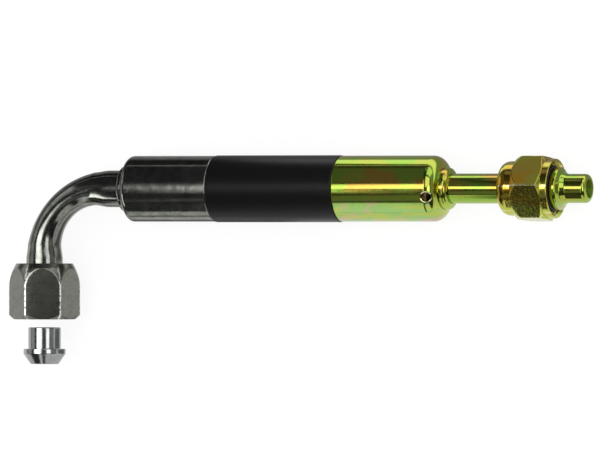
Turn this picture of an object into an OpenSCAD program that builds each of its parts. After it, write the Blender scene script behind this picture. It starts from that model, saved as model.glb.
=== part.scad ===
// Hydraulic hose assembly: a wire-spiral hose with a crimped fitting on each end.
// The left fitting is a bent tube with a swivel nut and a loose sealing nipple.
// The right fitting is a straight tube with a swivel nut and a pilot nose.
// Millimetres. The hose lies along X, the bent leg points along -Y, and Z is up.

/* [Hose] */
// Bore of the inner tube
hose_bore = 15.9; // [14:0.1:18]
// Wall of the inner tube
liner_wall = 1.8; // [1.4:0.1:2.4]
// Thickness of one layer of wire
wire_layer = 0.6; // [0.4:0.05:0.8]
// Thickness of the rubber cover
cover_wall = 2.25; // [1.5:0.05:3]
// Hose between the mouths of the two ferrules
free_length = 58.7; // [40:0.1:120]

/* [Ferrules] */
// Wall of both ferrules, measured between the teeth
ferrule_wall = 1.45; // [1:0.05:3]
// Length of the ferrule on the bent fitting
left_ferrule_length = 40.5; // [34:0.5:60]
// Length of the ferrule on the straight fitting
right_ferrule_length = 48; // [38:0.1:60]
// Radius on the shoulder of the left ferrule
left_shoulder_radius = 2.4; // [1:0.2:3.2]
// Radius on the shoulder of the right ferrule
right_shoulder_radius = 5.4; // [2:0.2:5.6]
// Thickness of the wall that closes the left ferrule round its stem
left_end_wall = 2; // [1.6:0.1:3]
// Thickness of the wall that closes the right ferrule round its stem
right_end_wall = 2; // [1.8:0.1:4]
// Height of the teeth that grip the wire
tooth_height = 0.6; // [0.3:0.1:0.7]
// Distance from one tooth to the next
tooth_pitch = 4.5; // [3.5:0.5:7]
// Diameter of the witness hole in the right ferrule
witness_d = 4; // [2:0.1:4.2]
// Turn of the witness hole from straight up, towards the leg
witness_turn = 15; // [0:1:60]

/* [Stems] */
// Bore of the stem on the bent fitting
left_stem_bore = 11; // [9:0.2:12]
// Bore of the stem on the straight fitting
right_stem_bore = 9.8; // [8:0.2:11]
// Wall of a stem round the end of its tube
socket_wall = 0.9; // [0.7:0.05:1.1]
// Width of the stop ring that shows beside the left ferrule
ring_width = 2.4; // [2:0.2:5]
// Groove between that ring and the ferrule
ring_groove = 0.8; // [0.4:0.1:2]
// Height of that ring over the neck of the stem
ring_height = 0.9; // [0.5:0.1:2]
// Length of the hub that shows beside the right ferrule
hub_length = 3.3; // [2.5:0.1:6]
// Height of that hub over the neck of the stem
hub_height = 1.75; // [1:0.05:2.5]
// Width of the flange that stops the end of the hose
stop_width = 2.4; // [1.5:0.1:3]
// How far that flange stands past the bore of the hose, or more where the neck is wider
stop_height = 1.5; // [1:0.1:1.7]
// Depth of the barbs
barb_depth = 0.5; // [0.2:0.1:0.8]
// Distance from one barb to the next
barb_pitch = 3; // [2:0.25:5]

/* [Bent tube] */
// Outside diameter of the bent tube at its ends
elbow_d = 16; // [15:0.5:16.4]
// How much thinner the tube is round the bend, where bending draws it in
bend_draw = 1.8; // [0:0.1:2.5]
// Length over which the tube widens at each end of the bend
widening = 7; // [3:0.5:7]
// Wall of the bent tube
elbow_wall = 1.5; // [1:0.1:2]
// Radius of the bend on the centreline
bend_radius = 24; // [20:0.5:35]
// Straight tube between the bend and the stop ring
elbow_run = 13.4; // [8:0.2:30]
// Straight leg between the bend and the back of the nut
elbow_leg = 8.4; // [7:0.2:20]
// Length of the collar brazed on the end of the leg
end_collar_length = 5; // [3:0.2:7]
// Wall of that collar
end_collar_wall = 1.7; // [1:0.1:3]

/* [Left nut] */
// Wall of the nut between the crests of its thread and a flat
left_nut_wall = 3.31; // [2.5:0.01:6]
// Length of the nut
left_nut_length = 24.4; // [22:0.1:30]
// Length of the thread, with its lead-in
left_thread_length = 12; // [8:0.5:12]
// Radius of the long rounding at the back of the corners
left_back_round = 22; // [18:1:30]
// Turn of the hexagon from flat side up
left_hex_turn = 19; // [0:1:29]

/* [Sealing nipple] */
// Length of the spigot
spigot_length = 9.3; // [6:0.1:10]
// Wall of the leg round the socket that the spigot enters
spigot_socket_wall = 0.8; // [0.5:0.05:1]
// Thickness of the rim of the flange
flange_rim = 2.2; // [1:0.1:3]
// Length of the sealing cone
cone_length = 4.5; // [3:0.1:6]
// Wall of the nipple at the small end of the cone
cone_wall = 0.9; // [0.7:0.05:1.6]
// Bore of the nipple
nipple_bore = 10.4; // [8:0.2:11]
// Gap between the nut and the loose nipple
nipple_gap = 3.5; // [1:0.1:20]

/* [Straight tube and pilot] */
// Outside diameter of the straight tube
tube_d = 13; // [12:0.1:13.4]
// Bore of the straight tube and the pilot
tube_bore = 8.4; // [6:0.2:9]
// Tube that shows between the stem and the nut
tube_run = 23.4; // [10:0.1:60]
// How far a tube goes into a socket
socket_depth = 6.6; // [4:0.1:7.5]
// Wall of the shank round the end of the tube
shank_wall = 2.25; // [1.5:0.05:3]
// Height of the bead over the shank behind it
bead_height = 0.5; // [0.3:0.05:1.2]
// Thickness of the rim of the bead
bead_rim = 1.9; // [1:0.1:3]
// Diameter of the pilot nose
pilot_d = 12.6; // [11.6:0.1:13.2]
// Length of the pilot nose in front of its fillet
pilot_length = 9.6; // [6:0.2:16]
// Radius on the tip of the pilot nose
pilot_tip_radius = 2; // [0.6:0.1:2]
// Length of the fillet between the bead and the pilot nose
pilot_neck = 3.2; // [2:0.1:5]
// How far the bead stands out of the nut
bead_reach = 2.4; // [2:0.1:5]
// Thickness of the seal ring
seal_d = 2.4; // [1.6:0.1:2.6]

/* [Right nut] */
// Wall of the nut between the crests of its thread and a flat
right_nut_wall = 2.31; // [2:0.01:5]
// Length of the nut
right_nut_length = 24.6; // [24:0.1:34]
// Length of the round collar at the back
back_collar_length = 7.8; // [6:0.1:9]
// How far that collar lies below the flats
back_collar_step = 1.7; // [0.5:0.1:3]
// Radius on the back of that collar
back_collar_radius = 4; // [2:0.2:5]
// How far in front of that collar the shoulder inside the nut lies
shoulder_inset = 2.2; // [1.6:0.1:4]
// Length over which the corners fall away to that collar
back_fall = 3.4; // [1:0.2:5]
// Length of the round band at the front
front_band_length = 3.2; // [1.5:0.1:5]
// How far that band lies below the flats
front_band_step = 0.6; // [0.2:0.05:1]
// Length of the thread, with its lead-in
right_thread_length = 10; // [6:0.5:12]
// Turn of the hexagon from corner up
right_hex_turn = 5.6; // [0:0.2:29]

/* [Clearances] */
// Between bonded, crimped or seated faces
seat_gap = 0.02; // [0.01:0.01:0.04]
// Radial gap that the braze fills
braze_gap = 0.05; // [0.02:0.01:0.08]
// Radial gap between a nut and the tube it turns on
swivel_gap = 0.15; // [0.08:0.01:0.25]
// Between a thrust ring and the faces on each side of it
thrust_gap = 0.1; // [0.05:0.01:0.2]
// Radial gap between the spigot and its socket
spigot_gap = 0.1; // [0.05:0.01:0.15]
// Radial gap between the end collar and the crests of the left thread
collar_gap = 0.44; // [0.3:0.02:0.8]
// Radial gap between the flange of the nipple and the same crests
flange_gap = 0.99; // [0.8:0.01:1.5]
// Radial gap between the shank of the pilot and the crests of the right thread
shank_gap = 2.39; // [2:0.01:3.5]

/* [Hidden] */
$fn = 96;

nickel = [0.72, 0.73, 0.71];
steel = [0.6, 0.61, 0.62];
yellow_zinc = [0.76, 0.70, 0.32];
rubber = [0.07, 0.07, 0.07];
wire = [0.45, 0.4, 0.3];

wire_layers = 4;
lead_in = 1; // chamfer at the mouth of a thread
seat_relief = 0.6; // between the inner end of the left thread and the end of the leg
spigot_relief = 0.3; // extra depth of the spigot's socket
seal_land = 0.8; // between the seal's groove and the bead
edge = 0.5; // small edge break on turned pieces
relief_depth = 0.6; // undercut behind a thread
thrust_ring = 1.5; // thickness of both thrust rings
inner_chamfer = 1.5; // corner inside a ferrule
tooth_from_end = 4; // from the end of the hose to the middle of the first tooth
tooth_from_mouth = 3; // least distance from the middle of the last tooth to the mouth
over = 1; // how far a cutter runs past what it cuts

// Radii of the hose from the bore outwards.
liner_r = hose_bore / 2 + liner_wall;
function layer_inner(i) = liner_r + seat_gap + i * (wire_layer + seat_gap);
wire_r = layer_inner(wire_layers - 1) + wire_layer;
tooth_r = wire_r + seat_gap;
ferrule_bore_r = tooth_r + tooth_height;
hose_r = wire_r + seat_gap + cover_wall;
ferrule_r = ferrule_bore_r + ferrule_wall;
function stop_r(neck_r) = max(hose_bore / 2 + stop_height, neck_r + edge);
barb_r = hose_bore / 2 - seat_gap;

// Radii of the stems where they pass through the end walls of the ferrules.
left_neck_r = elbow_d / 2 + braze_gap + socket_wall;
right_neck_r = tube_d / 2 + braze_gap + socket_wall;

// Radii of the left nut and of what goes into it. A thread is measured over its crests.
spigot_r = elbow_d / 2 - spigot_socket_wall - spigot_gap;
end_collar_r = elbow_d / 2 + braze_gap + end_collar_wall;
left_thread_r = end_collar_r + collar_gap;
flange_r = left_thread_r - flange_gap;
cone_end_r = nipple_bore / 2 + cone_wall;
left_flat_r = left_thread_r + left_nut_wall;
left_corner_r = left_flat_r / cos(30);

// Radii of the right nut and of what goes into it.
shank_r = tube_d / 2 + braze_gap + shank_wall;
bead_r = shank_r + bead_height;
right_thread_r = shank_r + shank_gap;
right_flat_r = right_thread_r + right_nut_wall;
right_corner_r = right_flat_r / cos(30);

// Stations along the hose axis, from the axis of the leg.
ring_x = bend_radius + elbow_run;
left_ferrule_x = ring_x + ring_width + ring_groove;
left_mouth_x = left_ferrule_x + left_ferrule_length;
right_mouth_x = left_mouth_x + free_length;
right_ferrule_x = right_mouth_x + right_ferrule_length;
hub_x = right_ferrule_x + hub_length;
right_nut_x = hub_x + tube_run;
right_face_x = right_nut_x + right_nut_length;
bead_x = right_face_x + bead_reach;
pilot_x = bead_x + pilot_neck;
tip_x = pilot_x + pilot_length;

// Stations inside the ferrules, from the outer face of the end wall towards the hose.
function stop_start(end_wall) = end_wall + seat_gap;
function hose_start(end_wall) = stop_start(end_wall) + stop_width + seat_gap;
stem_margin = 1.5; // the stem stops this far inside the mouth

// Stations along the leg, from the hose axis.
left_nut_back = bend_radius + elbow_leg;
left_nut_face = left_nut_back + left_nut_length;
leg_end = left_nut_face - left_thread_length - seat_relief;
spigot_socket = spigot_length + spigot_relief;
left_ring_back = leg_end - end_collar_length - thrust_gap - thrust_ring;
left_shoulder = left_ring_back - thrust_gap;
nipple_start = left_nut_face + nipple_gap;
nipple_length = spigot_length + flange_rim + cone_length;
nipple_end = nipple_start + nipple_length;

// Stations inside the right nut.
right_shoulder_x = right_nut_x + back_collar_length + shoulder_inset;
right_ring_x = right_shoulder_x + thrust_gap;
shank_x = right_ring_x + thrust_ring + thrust_gap;
seal_groove = 1.1 * seal_d;
seal_x = bead_x - bead_rim - seal_land - seal_groove / 2;
seal_seat_r = shank_r - 0.5 * seal_d;

// The origin is at the centre of the bounding box, on the plane that the nuts' lowest corners touch.
widest_r = max(hose_r, ferrule_r);
left_half_width = left_corner_r * max(cos(left_hex_turn), cos(60 - left_hex_turn));
left_half_height = left_corner_r * cos(30 - left_hex_turn);
lowest = max(left_half_height, right_corner_r * cos(right_hex_turn), widest_r);
middle_x = (tip_x - left_half_width) / 2;
middle_y = (widest_r - nipple_end) / 2;

module in_frame() translate([-middle_x, -middle_y, lowest]) children();
module along_hose(x) translate([x, 0, 0]) rotate([0, 90, 0]) children();
module against_hose(x) translate([x, 0, 0]) rotate([0, -90, 0]) children();
module along_leg(l) translate([0, -l, 0]) rotate([90, 0, 0]) children();

// A sharp outer corner at (r, at), taken off to a radius; side is 1 at the far end and -1 at the near end.
module corner_off(r, at, radius, side) {
    translate([r - radius, at - side * radius])
        mirror([0, side < 0 ? 1 : 0])
            difference() {
                square([radius + over, radius + over]);
                circle(r = radius);
            }
}

// Half section of a solid bar from one station to another, with its outer corners rounded.
module bar(r, from, to, round_from = 0, round_to = 0) {
    difference() {
        translate([0, from]) square([r, to - from]);
        if (round_from > 0) corner_off(r, from, round_from, -1);
        if (round_to > 0) corner_off(r, to, round_to, 1);
    }
}

// Half section of a plain ring.
module ring(inner_r, outer_r, from, to) translate([inner_r, from]) square([outer_r - inner_r, to - from]);

module tube(outer_r, inner_r, length)
    linear_extrude(length)
        difference() {
            circle(r = outer_r);
            circle(r = inner_r);
        }

// Straight end of the bent tube: it widens from the drawn-in bend to full size and may end in a socket.
module tube_end(length, socket_r = 0, socket = 0) {
    inner_r = elbow_d / 2 - elbow_wall;
    drawn_r = elbow_d / 2 - bend_draw / 2;
    rotate_extrude()
        difference() {
            polygon([[0, 0], [drawn_r, 0], [elbow_d / 2, widening], [elbow_d / 2, length], [0, length]]);
            polygon([[0, -over], [drawn_r - elbow_wall, -over], [drawn_r - elbow_wall, 0],
                [inner_r, widening], [inner_r, length + over], [0, length + over]]);
            if (socket > 0) ring(0, socket_r, length - socket, length + over);
        }
}

// Bent tube, with its far end bored out for the spigot of the nipple.
module elbow_tube() {
    run_end = ring_x + socket_depth - seat_gap;
    color(nickel) {
        along_hose(bend_radius) tube_end(run_end - bend_radius);
        translate([bend_radius, -bend_radius, 0])
            rotate([0, 0, 90])
                rotate_extrude(angle = 90)
                    translate([bend_radius, 0])
                        difference() {
                            circle(d = elbow_d - bend_draw);
                            circle(d = elbow_d - bend_draw - 2 * elbow_wall);
                        }
        along_leg(bend_radius)
            tube_end(leg_end - bend_radius, spigot_r + spigot_gap, spigot_socket);
    }
}

// Barbed part of a stem: saw teeth that rise towards the fitting.
module barbs(from, to) {
    count = floor((to - from) / barb_pitch);
    points = [for (i = [0:count - 1], far = [0, 1])
        [barb_r - far * barb_depth, from + (i + far * 0.999) * barb_pitch]];
    polygon(concat([[0, from]], points, [[barb_r - barb_depth, to], [0, to]]));
}

// Turned stem, measured from the outer face of the ferrule's end wall towards the hose.
// Its first child is the half section of what stands outside the ferrule.
module stem(reach, end_wall, neck_r, socket_r, bore_r, length) {
    stop = stop_start(end_wall);
    rotate_extrude()
        difference() {
            union() {
                ring(0, neck_r, -seat_gap, stop);
                bar(stop_r(neck_r), stop, stop + stop_width, edge, edge);
                barbs(stop + stop_width, length);
                children();
            }
            ring(0, bore_r, -reach - over, length + over);
            ring(0, socket_r, -reach - over, -reach + socket_depth);
        }
}

// The stop ring stands on the left stem, with a groove between it and the ferrule.
module left_stem() {
    reach = ring_width + ring_groove;
    color(nickel)
        along_hose(left_ferrule_x)
            stem(reach, left_end_wall, left_neck_r, elbow_d / 2 + braze_gap, left_stem_bore / 2,
                left_ferrule_length - stem_margin)
                union() {
                    bar(left_neck_r + ring_height, -reach, -ring_groove, 0.9, 0.7);
                    ring(0, left_neck_r, -reach, 0);
                }
}

// The hub of the right stem falls away in a quarter round to the tube.
module right_stem() {
    hub_r = right_neck_r + hub_height;
    land = 1.2; // straight part of the hub beside the ferrule
    fall = hub_length - land;
    lip_r = right_neck_r - 0.2;
    color(yellow_zinc)
        against_hose(right_ferrule_x)
            stem(hub_length, right_end_wall, right_neck_r, tube_d / 2 + braze_gap, right_stem_bore / 2,
                right_ferrule_length - stem_margin)
                polygon(concat([[0, -hub_length]],
                    [for (a = [0:15:90]) [lip_r + (hub_r - lip_r) * sin(a), -land - fall * cos(a)]],
                    [[hub_r, -seat_gap], [0, -seat_gap]]));
}

// One tooth inside a ferrule: a ridge with sloping sides.
module tooth(at) {
    foot = 1.4;
    crest = 0.6;
    root_r = ferrule_bore_r + 0.3; // the ridge is rooted in the wall
    polygon([[root_r, at - foot], [root_r, at + foot], [tooth_r, at + crest], [tooth_r, at - crest]]);
}

// Crimped ferrule, measured from the outer face of its end wall towards its mouth.
module ferrule(length, end_wall, neck_r, shoulder_radius) {
    first_tooth = hose_start(end_wall) + tooth_from_end;
    last_tooth = length - tooth_from_mouth;
    rotate_extrude() {
        difference() {
            bar(ferrule_r, 0, length, shoulder_radius, edge);
            ring(0, neck_r + seat_gap, -over, end_wall + over);
            polygon([[0, end_wall], [ferrule_bore_r - inner_chamfer, end_wall],
                [ferrule_bore_r, end_wall + inner_chamfer], [ferrule_bore_r, length + over],
                [0, length + over]]);
        }
        for (at = [first_tooth:tooth_pitch:last_tooth]) tooth(at);
    }
}

module left_ferrule()
    color(nickel)
        along_hose(left_ferrule_x)
            ferrule(left_ferrule_length, left_end_wall, left_neck_r, left_shoulder_radius);

// The witness hole lies over the joint between the end of the hose and the stem's flange.
module right_ferrule()
    color(yellow_zinc)
        difference() {
            against_hose(right_ferrule_x)
                ferrule(right_ferrule_length, right_end_wall, right_neck_r, right_shoulder_radius);
            translate([right_ferrule_x - right_end_wall - witness_d / 2, 0, 0])
                rotate([witness_turn, 0, 0])
                    cylinder(d = witness_d, h = ferrule_r + over);
        }

// Collar brazed round the end of the leg: the nut pulls on it.
module end_collar() {
    color(steel)
        along_leg(leg_end - end_collar_length)
            rotate_extrude()
                difference() {
                    bar(end_collar_r, 0, end_collar_length, edge, edge);
                    ring(0, elbow_d / 2 + braze_gap, -over, end_collar_length + over);
                }
}

module left_thrust_ring() {
    color(steel)
        along_leg(left_ring_back)
            tube(end_collar_r, elbow_d / 2 + swivel_gap, thrust_ring);
}

// A hexagon cut down to a turned section, which leaves the arcs at the ends of the flats.
module hexagon(corner_r, length)
    intersection() {
        cylinder(r = corner_r, h = length, $fn = 6);
        rotate_extrude() children();
    }

// Inside of a swivel nut, measured from its back: bearing bore, undercut, thread and lead-in.
module nut_bore(length, bearing_r, shoulder, thread_r, thread_length) {
    rotate_extrude() {
        ring(0, bearing_r, -over, shoulder + over);
        ring(0, thread_r + relief_depth, shoulder, length - thread_length);
        ring(0, thread_r, shoulder, length + over);
        polygon([[0, length - lead_in], [thread_r, length - lead_in], [thread_r + lead_in, length],
            [thread_r + lead_in, length + over], [0, length + over]]);
    }
}

module left_nut() {
    front_chamfer = left_corner_r - left_flat_r;
    round_start = 0.47 * left_nut_length; // the corners run straight from here to the front
    color(nickel)
        along_leg(left_nut_back)
            rotate([0, 0, -left_hex_turn])
                difference() {
                    hexagon(left_corner_r, left_nut_length)
                        intersection() {
                            translate([left_corner_r - left_back_round, round_start])
                                union() {
                                    circle(r = left_back_round);
                                    square([left_back_round, left_nut_length - round_start]);
                                }
                            polygon([[0, 0], [left_corner_r, 0],
                                [left_corner_r, left_nut_length - front_chamfer],
                                [left_corner_r - front_chamfer, left_nut_length], [0, left_nut_length]]);
                        }
                    nut_bore(left_nut_length, elbow_d / 2 + swivel_gap, left_shoulder - left_nut_back,
                        left_thread_r, left_thread_length);
                }
}

// Loose nipple: its spigot enters the end of the leg and its cone seals in the port.
module sealing_nipple() {
    color(steel)
        along_leg(nipple_start)
            rotate_extrude()
                difference() {
                    union() {
                        bar(spigot_r, 0, spigot_length + over, edge, 0);
                        bar(flange_r, spigot_length, spigot_length + flange_rim, edge, 0);
                        translate([0, spigot_length + flange_rim])
                            polygon([[0, 0], [flange_r, 0], [cone_end_r, cone_length - edge],
                                [cone_end_r - edge, cone_length], [0, cone_length]]);
                    }
                    ring(0, nipple_bore / 2, -over, nipple_length + over);
                }
}

// The layers of the hose run from one stem's flange to the other's.
hose_from = left_ferrule_x + hose_start(left_end_wall);
hose_to = right_ferrule_x - hose_start(right_end_wall);

module hose_liner()
    color(rubber) along_hose(hose_from) tube(liner_r, hose_bore / 2, hose_to - hose_from);

module wire_spiral(i)
    color(wire)
        along_hose(hose_from) tube(layer_inner(i) + wire_layer, layer_inner(i), hose_to - hose_from);

// The cover is cut away inside the ferrules, so it ends at their mouths.
module hose_cover() {
    from = left_mouth_x + seat_gap;
    length = right_mouth_x - seat_gap - from;
    color(rubber)
        along_hose(from)
            rotate_extrude()
                difference() {
                    bar(hose_r, 0, length, edge, edge);
                    ring(0, wire_r + seat_gap, -over, length + over);
                }
}

module right_tube() {
    from = hub_x - socket_depth + seat_gap;
    to = shank_x + socket_depth - seat_gap;
    color(yellow_zinc) along_hose(from) tube(tube_d / 2, tube_bore / 2, to - from);
}

// Shank, seal groove, bead, filleted neck and nose, turned in one piece.
module right_pilot() {
    rim = bead_x - bead_rim;
    slope = 1.2; // how far the front of the bead leans
    foot = 0.7; // how far the fillet stands out from the nose there
    color(yellow_zinc)
        along_hose(0)
            rotate_extrude()
                difference() {
                    union() {
                        bar(shank_r, shank_x, rim, edge, 0);
                        bar(bead_r, rim, bead_x, edge, edge);
                        polygon([[0, bead_x - edge], [bead_r - edge, bead_x],
                            [pilot_d / 2 + foot, bead_x + slope], [pilot_d / 2, pilot_x], [0, pilot_x]]);
                        bar(pilot_d / 2, pilot_x - over, tip_x, 0, pilot_tip_radius);
                    }
                    ring(seal_seat_r, shank_r + over, seal_x - seal_groove / 2, seal_x + seal_groove / 2);
                    ring(0, tube_bore / 2, shank_x - over, tip_x + over);
                    ring(0, tube_d / 2 + braze_gap, shank_x - over, shank_x + socket_depth);
                }
}

module seal_ring() {
    color(rubber)
        along_hose(seal_x)
            rotate_extrude()
                translate([seal_seat_r + seat_gap + seal_d / 2, 0])
                    circle(d = seal_d);
}

module right_thrust_ring() {
    overhang = 1; // past the shank, for the nut's shoulder to bear on
    color(yellow_zinc)
        along_hose(right_ring_x)
            tube(shank_r + overhang, tube_d / 2 + swivel_gap, thrust_ring);
}

module right_nut() {
    corner_drop = right_corner_r - right_flat_r;
    hex_length = right_nut_length - back_collar_length - front_band_length;
    front_chamfer = 1.2;
    color(yellow_zinc)
        along_hose(right_nut_x)
            rotate([0, 0, -right_hex_turn])
                difference() {
                    union() {
                        rotate_extrude() {
                            bar(right_flat_r - back_collar_step, 0, back_collar_length + over,
                                back_collar_radius, 0);
                            bar(right_flat_r - front_band_step,
                                right_nut_length - front_band_length - over, right_nut_length, 0, edge);
                        }
                        translate([0, 0, back_collar_length])
                            hexagon(right_corner_r, hex_length)
                                polygon([[0, 0], [right_corner_r - corner_drop, 0],
                                    [right_corner_r, back_fall],
                                    [right_corner_r, hex_length - front_chamfer],
                                    [right_corner_r - corner_drop, hex_length], [0, hex_length]]);
                    }
                    nut_bore(right_nut_length, tube_d / 2 + swivel_gap, right_shoulder_x - right_nut_x,
                        right_thread_r, right_thread_length);
                }
}

in_frame() elbow_tube();
in_frame() left_stem();
in_frame() left_ferrule();
in_frame() end_collar();
in_frame() left_thrust_ring();
in_frame() left_nut();
in_frame() sealing_nipple();
in_frame() hose_liner();
in_frame() wire_spiral(0);  // wire_layer_1
in_frame() wire_spiral(1);  // wire_layer_2
in_frame() wire_spiral(2);  // wire_layer_3
in_frame() wire_spiral(3);  // wire_layer_4
in_frame() hose_cover();
in_frame() right_ferrule();
in_frame() right_stem();
in_frame() right_tube();
in_frame() right_pilot();
in_frame() seal_ring();
in_frame() right_thrust_ring();
in_frame() right_nut();
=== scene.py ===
"""Hydraulic hose assembly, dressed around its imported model.

Metres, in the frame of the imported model: the hose lies along X, the bent leg points along -Y, and Z is up.
"""

import math

import bpy
import numpy as np
from mathutils import Matrix, Vector


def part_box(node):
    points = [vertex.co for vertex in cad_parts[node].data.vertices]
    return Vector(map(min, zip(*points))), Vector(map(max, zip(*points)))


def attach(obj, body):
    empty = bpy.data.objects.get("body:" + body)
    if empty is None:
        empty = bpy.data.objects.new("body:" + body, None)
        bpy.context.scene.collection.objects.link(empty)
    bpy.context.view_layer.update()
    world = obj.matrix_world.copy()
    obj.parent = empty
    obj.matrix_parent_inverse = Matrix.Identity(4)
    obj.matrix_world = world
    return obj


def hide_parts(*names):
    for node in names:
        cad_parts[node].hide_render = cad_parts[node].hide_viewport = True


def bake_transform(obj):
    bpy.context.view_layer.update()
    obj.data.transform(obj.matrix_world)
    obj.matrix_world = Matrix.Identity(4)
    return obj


bl_info = {
    "name": "Hydraulic Hose Assembly",
    "version": (1, 0, 0),
    "blender": (4, 5, 0),
    "location": "3D View > Sidebar > Hose",
    "description": "Builds a crimped hydraulic hose with a bent and a straight swivel fitting",
    "category": "Object",
}

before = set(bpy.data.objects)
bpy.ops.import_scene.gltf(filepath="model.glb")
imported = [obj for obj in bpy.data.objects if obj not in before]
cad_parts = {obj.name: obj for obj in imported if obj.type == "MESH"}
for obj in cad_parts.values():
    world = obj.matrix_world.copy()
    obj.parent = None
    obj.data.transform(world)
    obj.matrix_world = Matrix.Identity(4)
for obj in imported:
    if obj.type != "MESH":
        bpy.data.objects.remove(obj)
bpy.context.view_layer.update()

MM = 0.001
STEPS_PER_PITCH = 8
POINTS_PER_FLAT = 36
EDGE_WEAR_AND_HIGHLIGHT_DEGREES = 1.6  # how far a nut's worn edge, which is also a painted highlight, reaches on each side of a corner
GROOVE_SLOPE = 1.35  # of a thread's groove, over its depth and half its pitch
GROOVE_START = 0.12  # share of that slope that the flat crest takes


def span(node, axis):
    """Lowest and highest value of a CAD node along one axis."""
    low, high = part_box(node)
    return low[axis], high[axis]


def middle(node, axis):
    return sum(span(node, axis)) / 2


HOSE_Y = middle("right_tube", 1)
AXIS_Z = middle("right_tube", 2)
LEG_X = middle("end_collar", 0)


# ---------------------------------------------------------------- sizes and colours


def size(name, description, millimetres):
    """A length that the user may change, kept in metres."""
    return bpy.props.FloatProperty(
        name=name, description=description, default=millimetres * MM, unit="LENGTH", precision=5
    )


def colour(name, description, red, green, blue):
    return bpy.props.FloatVectorProperty(
        name=name, description=description, default=(red, green, blue), subtype="COLOR", min=0, max=1
    )


def value(name, description, default, low=0.0, high=1.0):
    return bpy.props.FloatProperty(name=name, description=description, default=default, min=low, max=high)


class BentTubeSizes(bpy.types.PropertyGroup):
    radius: size("Radius", "Outside radius at both ends", 8)
    wall: size("Wall", "Wall of the tube", 1.5)
    bend: size("Bend", "Radius of the bend on the line of the two axes", 24)
    drawn_width: size("Drawn width", "Half width in the plane of the bend where it begins", 7.2)
    middle_width: size("Middle width", "Half width in that plane at the middle of the bend", 6.1)
    middle_height: size("Middle height", "Half height out of that plane at the middle of the bend", 7.7)
    inward: size("Inward", "How far the middle of the bend lies inside the line of the axes", 1.5)
    widening: size("Widening", "Length over which each end widens", 7)
    socket_radius: size("Socket radius", "Radius of the socket in the end of the leg", 7.2)
    socket_depth: size("Socket depth", "Depth of that socket", 9.6)


class LeftNutSizes(bpy.types.PropertyGroup):
    flat_radius: size("Flat radius", "Half the distance across the flats", 13.5)
    turn: value("Turn", "Turn of a flat from straight up, in degrees", 19, 0, 60)
    back_round: size("Back rounding", "Radius of the long rounding at the back of the corners", 22)
    bearing_radius: size("Bearing radius", "Bore at the back, which turns on the tube", 8.15)
    bearing_length: size("Bearing length", "Length of that bore", 5.1)
    thread_radius: size("Thread radius", "Radius over the crests of the thread", 10.19)
    thread_length: size("Thread length", "Length of the thread", 12)


class RightNutSizes(bpy.types.PropertyGroup):
    flat_radius: size("Flat radius", "Half the distance across the flats", 13.5)
    turn: value("Turn", "Turn of a flat from straight up, in degrees", 35.6, 0, 60)
    collar_radius: size("Collar radius", "Radius of the round collar at the back", 11.8)
    collar_length: size("Collar length", "Length of that collar", 7.8)
    collar_round: size("Collar rounding", "Rounding on the back of that collar", 4.4)
    shoulder: size("Shoulder", "Depth of the shoulder inside, measured from the back", 10)
    back_fall: size("Back fall", "Length over which the corners fall away to the collar", 3.4)
    band_radius: size("Band radius", "Radius of the round band at the front", 12.9)
    band_length: size("Band length", "Length of that band", 3.2)
    bearing_radius: size("Bearing radius", "Bore at the back, which turns on the tube", 6.65)
    thread_radius: size("Thread radius", "Radius over the crests of the thread", 11.19)
    thread_length: size("Thread length", "Length of the thread", 10)


class ThreadSizes(bpy.types.PropertyGroup):
    pitch: size("Pitch", "Pitch of both threads", 1.5)
    depth: size("Depth", "Depth of both threads", 0.75)
    relief: size("Relief", "Depth of the undercut behind a thread", 0.6)


class NippleSizes(bpy.types.PropertyGroup):
    spigot_radius: size("Spigot radius", "Radius of the spigot", 7.1)
    spigot_length: size("Spigot length", "Length of the spigot", 9.3)
    flange_radius: size("Flange radius", "Radius of the flange", 9.2)
    flange_rim: size("Flange rim", "Length of the rim of the flange", 2.2)
    cone_length: size("Cone length", "Length of the sealing cone", 4.5)
    cone_radius: size("Cone radius", "Radius of the small end of the cone", 6.1)
    bore: size("Bore", "Radius of the bore", 5.2)


class PilotSizes(bpy.types.PropertyGroup):
    shank_radius: size("Shank radius", "Radius of the shank behind the bead", 8.8)
    bead_radius: size("Bead radius", "Radius of the bead", 9.3)
    bead_rim: size("Bead rim", "Length of the rim of the bead", 1.9)
    groove_length: size("Groove length", "Length of the groove for the seal ring", 2.64)
    groove_radius: size("Groove radius", "Radius of the bottom of that groove", 7.6)
    land: size("Land", "Land between that groove and the bead", 0.8)
    nose_radius: size("Nose radius", "Radius of the pilot nose", 6.3)
    nose_length: size("Nose length", "Length of the pilot nose in front of its fillet", 9.6)
    nose_round: size("Nose rounding", "Rounding on the tip of the nose", 2)
    neck: size("Neck", "Length of the fillet between the bead and the nose", 3.2)
    bore: size("Bore", "Radius of the bore", 4.2)
    socket_radius: size("Socket radius", "Radius of the socket for the tube", 6.55)
    socket_depth: size("Socket depth", "Depth of that socket", 6.6)


class HoseSizes(bpy.types.PropertyGroup):
    radius: size("Radius", "Outside radius of the cover", 14.5)
    cover_bore: size("Cover bore", "Radius of the bore of the cover", 12.25)
    lip: size("Lip", "Rounding of the cover beside a ferrule", 0.6)
    bore: size("Bore", "Radius of the bore of the inner tube", 7.95)
    liner_radius: size("Liner radius", "Outside radius of the inner tube", 9.75)
    wire_layer: size("Wire layer", "Thickness of one layer of wire", 0.6)
    wire_gap: size("Wire gap", "Gap between two layers", 0.02)


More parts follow.
